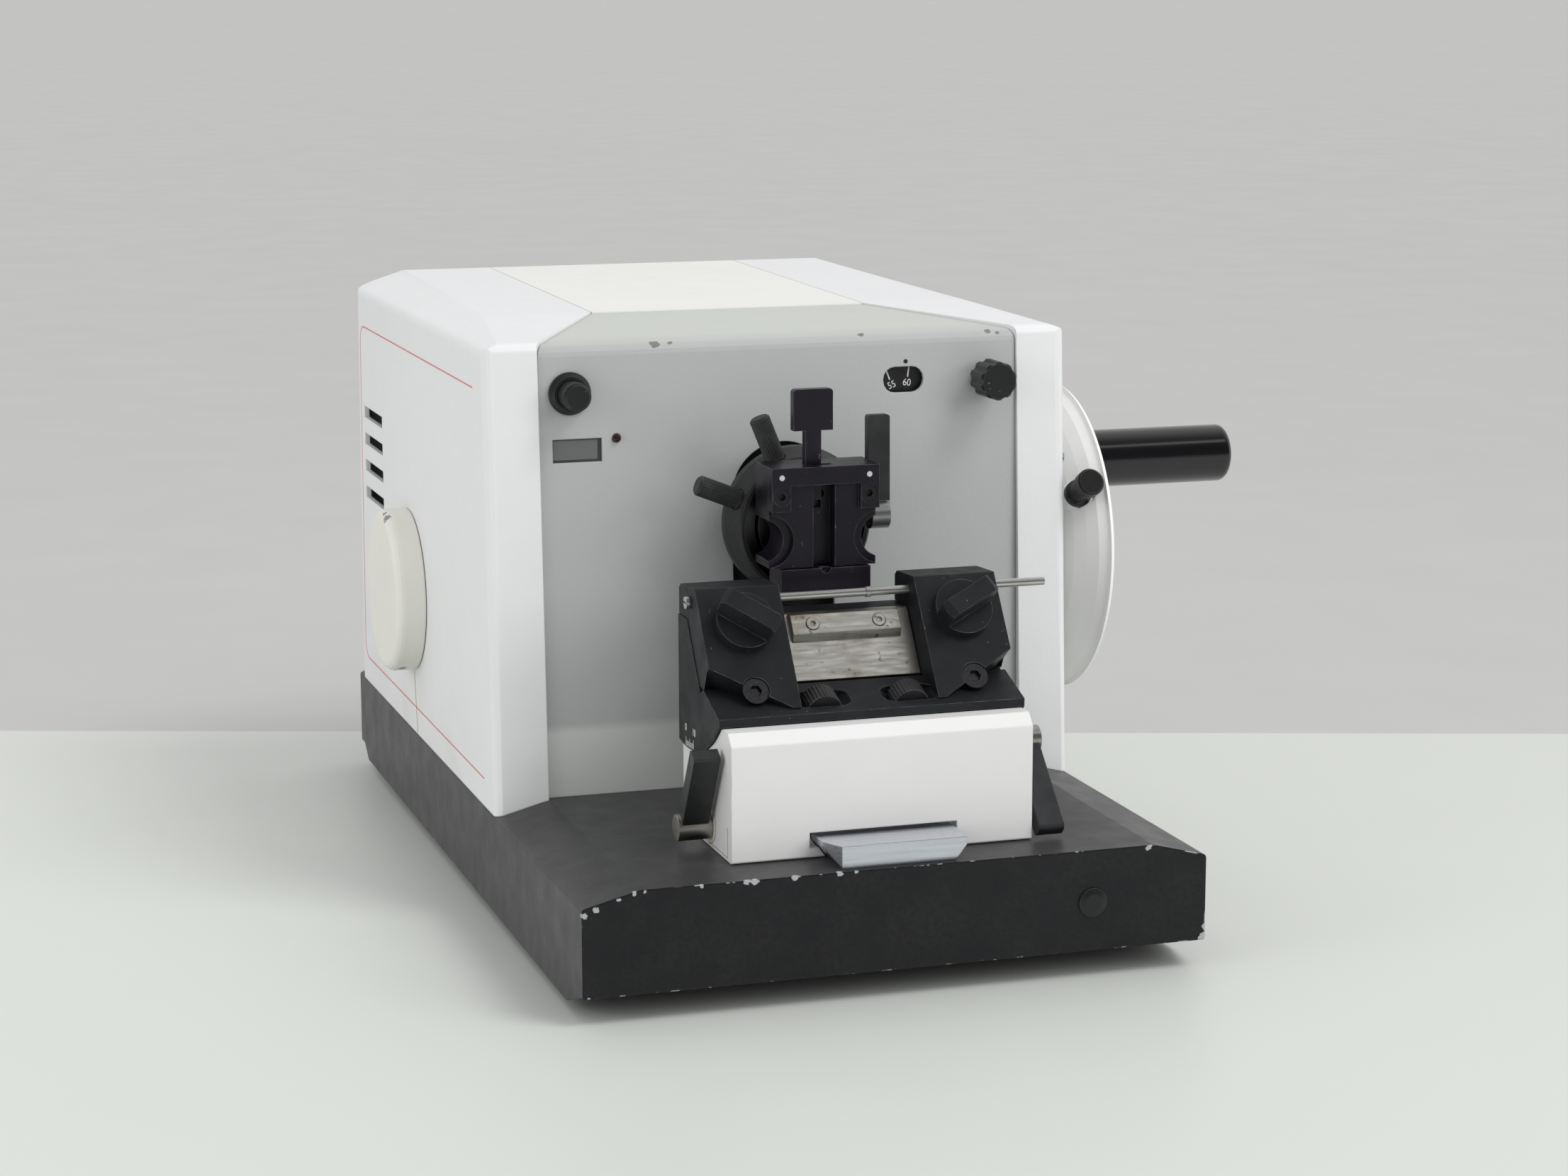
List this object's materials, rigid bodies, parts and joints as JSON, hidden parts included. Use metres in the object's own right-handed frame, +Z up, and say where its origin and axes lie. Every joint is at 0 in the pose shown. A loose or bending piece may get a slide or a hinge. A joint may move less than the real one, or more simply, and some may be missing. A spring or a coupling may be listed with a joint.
{
  "type": "rotary microtome",
  "caption": "Rotary microtome with a white and grey housing, a handwheel, a specimen clamp and a black knife holder on a dark base.",
  "frame": {"origin": "on the table, under the middle of the whole object's box", "axes": "-Y faces the operator, +X points to the handwheel, +Z up"},
  "size_m": [0.4294, 0.5448, 0.3013],
  "materials": {
    "base_paint": "satin",
    "foot_rubber": "matte",
    "black_plastic": "satin",
    "cover_paint": "satin",
    "lid_paint": "satin",
    "panel_paint": "matte",
    "smoked_window": "gloss",
    "red_lamp": "gloss",
    "bright_steel": "satin",
    "dial_black": "matte",
    "cast_frame": "satin",
    "bronze": "satin",
    "motor_paint": "satin",
    "wheel_cream": "satin",
    "gloss_black": "gloss",
    "coarse_cream": "satin",
    "shutter_black": "matte",
    "dark_steel": "satin",
    "black_metal": "satin",
    "clamp_black": "satin",
    "screw_black": "satin",
    "knife_white": "satin",
    "lever_black": "satin",
    "anodised_black": "satin",
    "insert_steel": "satin"
  },
  "bodies": {
    "housing": {"base_casting": "base_paint", "rubber_feet": "foot_rubber", "base_plug": "black_plastic", "knife_rail": "bright_steel", "left_side_cover": "cover_paint", "right_side_cover": "cover_paint", "top_lid": "lid_paint", "front_panel": "panel_paint", "rear_panel": "cover_paint", "mains_inlet": "black_plastic", "display_window": "smoked_window", "status_lamp": "red_lamp", "mode_collar": "black_plastic", "main_frame": "cast_frame", "shaft_bushes": "bronze", "feed_rails": "bright_steel", "feed_motor": "motor_paint", "coarse_bracket": "cast_frame"},
    "shutter": {"slot_shutter": "shutter_black"},
    "mode_knob": {"mode_knob": "black_plastic"},
    "thickness_knob": {"thickness_knob": "black_plastic", "thickness_shaft": "bright_steel"},
    "dial": {"dial_disc": "dial_black"},
    "handwheel": {"handwheel": "wheel_cream", "main_shaft": "bright_steel", "crank_disc": "cast_frame", "grip_spindle": "bright_steel"},
    "crank_grip": {"crank_grip": "gloss_black"},
    "wheel_lock": {"wheel_lock_knob": "black_plastic"},
    "coarse_wheel": {"coarse_wheel": "coarse_cream", "coarse_shaft": "bright_steel"},
    "feed_slide": {"feed_slide": "cast_frame", "guide_rods": "bright_steel", "feed_spindle": "bright_steel"},
    "carriage": {"carriage": "cast_frame", "specimen_arm": "dark_steel", "head_ring": "black_metal"},
    "nod_screw": {"nod_screw": "black_metal"},
    "swing_screw": {"swing_screw": "black_metal"},
    "nod_ring": {"swivel_ring": "dark_steel"},
    "clamp": {"swivel_block": "dark_steel", "clamp_body": "clamp_black", "clamp_frame": "clamp_black", "clamp_screws": "screw_black"},
    "clamp_lever": {"clamp_lever": "black_metal"},
    "lower_jaw": {"lower_jaw": "clamp_black"},
    "release_lever": {"release_lever": "clamp_black"},
    "knife_base": {"knife_base": "knife_white"},
    "rail_lever": {"rail_lever": "lever_black"},
    "angle_lever": {"angle_lever": "lever_black"},
    "segment": {"holder_segment": "anodised_black", "knife_jaws": "anodised_black", "jaw_screws": "screw_black", "guard_rod": "bright_steel", "pressure_plate": "insert_steel"},
    "left_jaw_knob": {"left_jaw_knob": "anodised_black"},
    "right_jaw_knob": {"right_jaw_knob": "anodised_black"},
    "left_height_wheel": {"left_height_wheel": "black_metal"},
    "right_height_wheel": {"right_height_wheel": "black_metal"}
  },
  "joints": [
    {"name": "handwheel_turn", "type": "hinge", "parent": "housing", "child": "handwheel", "pos_m": [0.05685, -0.017, 0.171], "axis": [1, 0, 0], "continuous": true},
    {"name": "grip_spin", "type": "hinge", "parent": "handwheel", "child": "crank_grip", "pos_m": [0.15685, -0.05949, 0.21819], "axis": [1, 0, 0], "continuous": true},
    {"name": "lock_pull", "type": "slide", "parent": "handwheel", "child": "wheel_lock", "axis": [0, -0.891, 0.454], "range_m": [0, 0.004]},
    {"name": "coarse_turn", "type": "hinge", "parent": "housing", "child": "coarse_wheel", "pos_m": [-0.14315, 0.11, 0.137], "axis": [-1, 0, 0], "range_deg": [0, 114.6]},
    {"name": "feed", "type": "slide", "parent": "housing", "child": "feed_slide", "axis": [0, -1, 0], "range_m": [0, 0.014]},
    {"name": "stroke", "type": "slide", "parent": "feed_slide", "child": "carriage", "axis": [0, 0, -1], "range_m": [0, 0.06]},
    {"name": "shutter_slide", "type": "slide", "parent": "housing", "child": "shutter", "axis": [0, 0, -1], "range_m": [0, 0.06]},
    {"name": "nod_screw_turn", "type": "hinge", "parent": "carriage", "child": "nod_screw", "pos_m": [-0.06188, -0.1155, 0.24836], "axis": [-0.3746, 0, 0.9272], "range_deg": [-360, 360]},
    {"name": "swing_screw_turn", "type": "hinge", "parent": "carriage", "child": "swing_screw", "pos_m": [-0.08951, -0.1155, 0.22073], "axis": [-0.9272, 0, 0.3746], "range_deg": [-360, 360]},
    {"name": "head_nod", "type": "hinge", "parent": "carriage", "child": "nod_ring", "pos_m": [-0.04315, -0.114, 0.202], "axis": [1, 0, 0], "range_deg": [-7, 7]},
    {"name": "head_swing", "type": "hinge", "parent": "nod_ring", "child": "clamp", "pos_m": [-0.04315, -0.114, 0.202], "axis": [0, 0, 1], "range_deg": [-7, 7]},
    {"name": "clamp_lever_turn", "type": "hinge", "parent": "clamp", "child": "clamp_lever", "pos_m": [-0.01115, -0.139, 0.208], "axis": [-1, 0, 0], "range_deg": [0, 20]},
    {"name": "lower_jaw_slide", "type": "slide", "parent": "clamp", "child": "lower_jaw", "axis": [0, 0, -1], "range_m": [0, 0.003]},
    {"name": "release_press", "type": "slide", "parent": "clamp", "child": "release_lever", "axis": [0, 0, -1], "range_m": [0, 0.004], "stiffness_N_per_m": 400},
    {"name": "mode_push", "type": "slide", "parent": "housing", "child": "mode_knob", "axis": [0, 1, 0], "range_m": [0, 0.002], "stiffness_N_per_m": 600},
    {"name": "thickness_turn", "type": "hinge", "parent": "housing", "child": "thickness_knob", "pos_m": [0.06625, -0.089, 0.2682], "axis": [0, -1, 0], "range_deg": [-15, 680]},
    {"name": "dial_turn", "type": "hinge", "parent": "housing", "child": "dial", "pos_m": [0.02365, -0.077, 0.24956], "axis": [0, -1, 0], "range_deg": [-340, 7.5]},
    {"name": "knife_base_slide", "type": "slide", "parent": "housing", "child": "knife_base", "axis": [0, -1, 0], "range_m": [0, 0.025]},
    {"name": "rail_lever_turn", "type": "hinge", "parent": "knife_base", "child": "rail_lever", "pos_m": [-0.12715, -0.207, 0.074], "axis": [1, 0, 0], "range_deg": [-60, 0]},
    {"name": "angle_lever_turn", "type": "hinge", "parent": "knife_base", "child": "angle_lever", "pos_m": [0.04085, -0.207, 0.10466], "axis": [1, 0, 0], "range_deg": [-60, 0]},
    {"name": "segment_tilt", "type": "hinge", "parent": "knife_base", "child": "segment", "pos_m": [-0.04315, -0.175, 0.182], "axis": [1, 0, 0], "range_deg": [-5, 10]},
    {"name": "left_jaw_knob_turn", "type": "hinge", "parent": "segment", "child": "left_jaw_knob", "pos_m": [-0.09855, -0.19804, 0.169], "axis": [0, -0.8192, 0.5736], "range_deg": [0, 90]},
    {"name": "right_jaw_knob_turn", "type": "hinge", "parent": "segment", "child": "right_jaw_knob", "pos_m": [0.01225, -0.19804, 0.169], "axis": [0, -0.8192, 0.5736], "range_deg": [-90, 0]},
    {"name": "left_height_wheel_turn", "type": "hinge", "parent": "segment", "child": "left_height_wheel", "pos_m": [-0.06515, -0.21463, 0.13016], "axis": [0, -0.9455, -0.3256], "range_deg": [-180, 180]},
    {"name": "right_height_wheel_turn", "type": "hinge", "parent": "segment", "child": "right_height_wheel", "pos_m": [-0.02115, -0.21463, 0.13016], "axis": [0, -0.9455, -0.3256], "range_deg": [-180, 180]}
  ],
  "couplings": [
    {"joint": "coarse_turn", "follows": "feed", "rad_per_m": 142.86},
    {"joint": "shutter_slide", "follows": "stroke", "ratio": 1},
    {"joint": "head_nod", "follows": "nod_screw_turn", "ratio": 0.019444},
    {"joint": "head_swing", "follows": "swing_screw_turn", "ratio": 0.019444},
    {"joint": "dial_turn", "follows": "thickness_turn", "ratio": -0.5},
    {"joint": "clamp_lever_turn", "follows": "lower_jaw_slide", "rad_per_m": 100}
  ]
}
